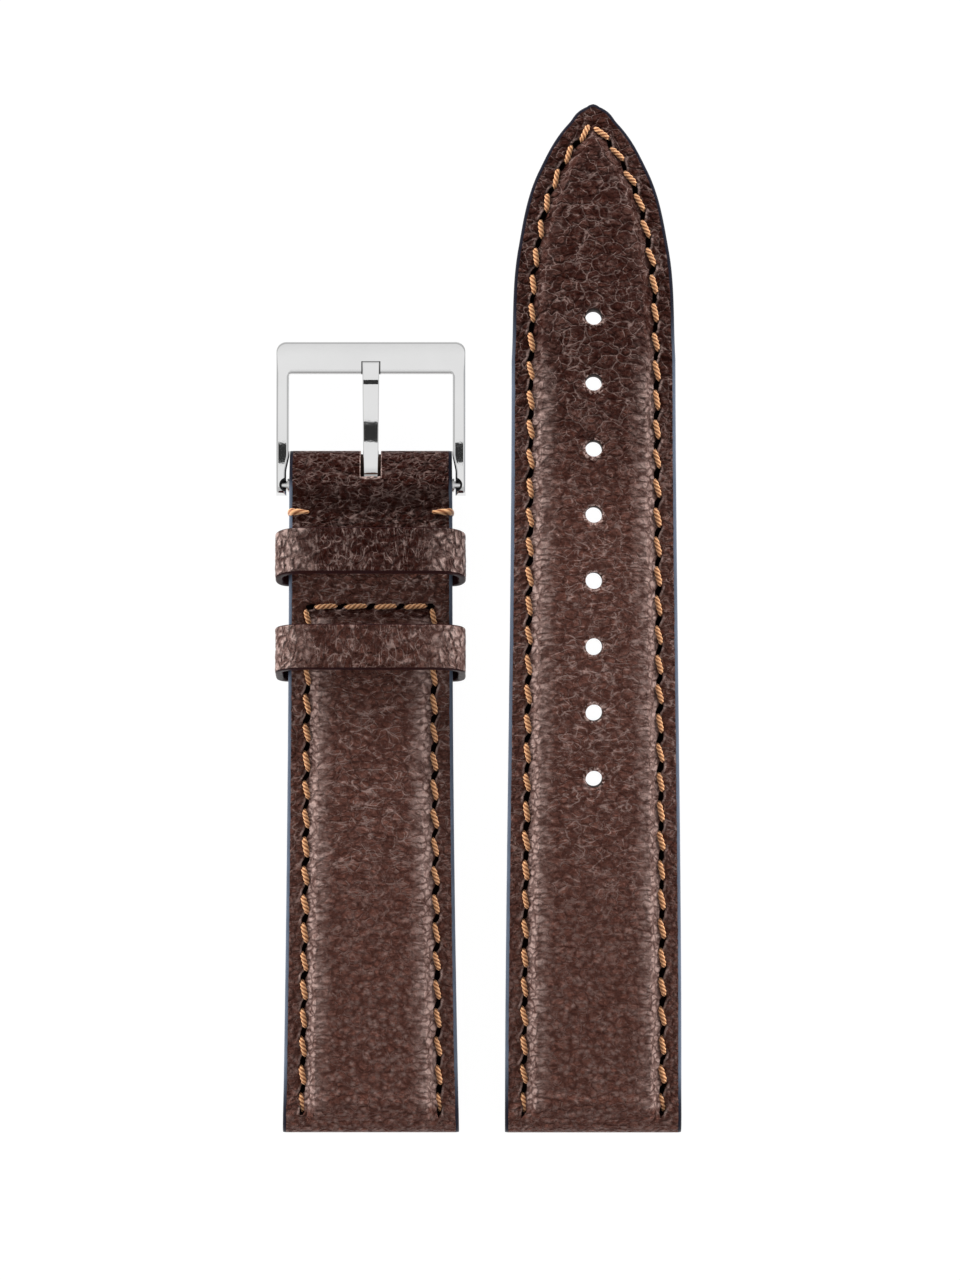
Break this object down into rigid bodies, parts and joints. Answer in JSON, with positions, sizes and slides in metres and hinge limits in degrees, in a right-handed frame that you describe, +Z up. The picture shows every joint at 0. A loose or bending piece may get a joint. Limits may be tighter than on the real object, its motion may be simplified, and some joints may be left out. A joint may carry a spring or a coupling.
{
  "type": "leather watch strap",
  "caption": "Two-piece padded brown leather watch strap with orange stitching, a pin buckle on a spring bar and two leather keepers.",
  "frame": {"origin": "on the table, under the middle of the box round both halves", "axes": "+Y from the lug ends to the buckle and the tip, +Z up out of the grain side, +X to the right"},
  "size_m": [0.046, 0.1162, 0.0077],
  "materials": {
    "grain_leather": "pebbled dark brown calf leather with a satin finish",
    "lining_leather": "smooth matte brown lining leather",
    "padding_felt": "pressed felt",
    "stiffener_board": "bonded leather board",
    "thread": "waxed orange-tan thread",
    "polished_steel": "mirror polished stainless steel",
    "bar_steel": "turned stainless steel"
  },
  "bodies": {
    "short_strap": {"short_top_leather": "grain_leather", "short_padding": "padding_felt", "short_stiffener": "stiffener_board", "fold_filler": "stiffener_board", "short_lining": "lining_leather", "short_left_stitching": "thread", "short_right_stitching": "thread", "cross_stitching": "thread", "edge_stitches": "thread", "fixed_keeper": "grain_leather", "spring_bar_tube": "bar_steel", "spring_bar_spring": "bar_steel"},
    "free_keeper_loop": {"free_keeper": "grain_leather"},
    "frame": {"buckle_frame": "polished_steel"},
    "tongue": {"buckle_tongue": "polished_steel"},
    "left_tip": {"spring_bar_left_tip": "bar_steel"},
    "right_tip": {"spring_bar_right_tip": "bar_steel"},
    "long_strap": {"long_top_leather": "grain_leather", "long_padding": "padding_felt", "long_stiffener": "stiffener_board", "long_lining": "lining_leather", "long_left_stitching": "thread", "long_right_stitching": "thread"}
  },
  "joints": [
    {"name": "buckle_swing", "type": "hinge", "parent": "short_strap", "child": "frame", "pos_m": [-0.01222, 0.01515, 0.00205], "axis": [1, 0, 0], "range_deg": [-130, 0]},
    {"name": "tongue_swing", "type": "hinge", "parent": "short_strap", "child": "tongue", "pos_m": [-0.01222, 0.01515, 0.00205], "axis": [1, 0, 0], "range_deg": [0, 42]},
    {"name": "keeper_slide", "type": "slide", "parent": "short_strap", "child": "free_keeper_loop", "axis": [0, 0.9998, -0.0222], "range_m": [-0.02, 0.0049]},
    {"name": "left_tip_press", "type": "slide", "parent": "short_strap", "child": "left_tip", "axis": [1, 0, 0], "range_m": [0, 0.00085], "stiffness_N_per_m": 200, "springref_m": -0.001},
    {"name": "right_tip_press", "type": "slide", "parent": "short_strap", "child": "right_tip", "axis": [-1, 0, 0], "range_m": [0, 0.00085], "stiffness_N_per_m": 200, "springref_m": -0.001},
    {"name": "long_half_lift", "type": "slide", "parent": "short_strap", "child": "long_strap", "axis": [0, 0, 1], "range_m": [0, 0.04]}
  ]
}
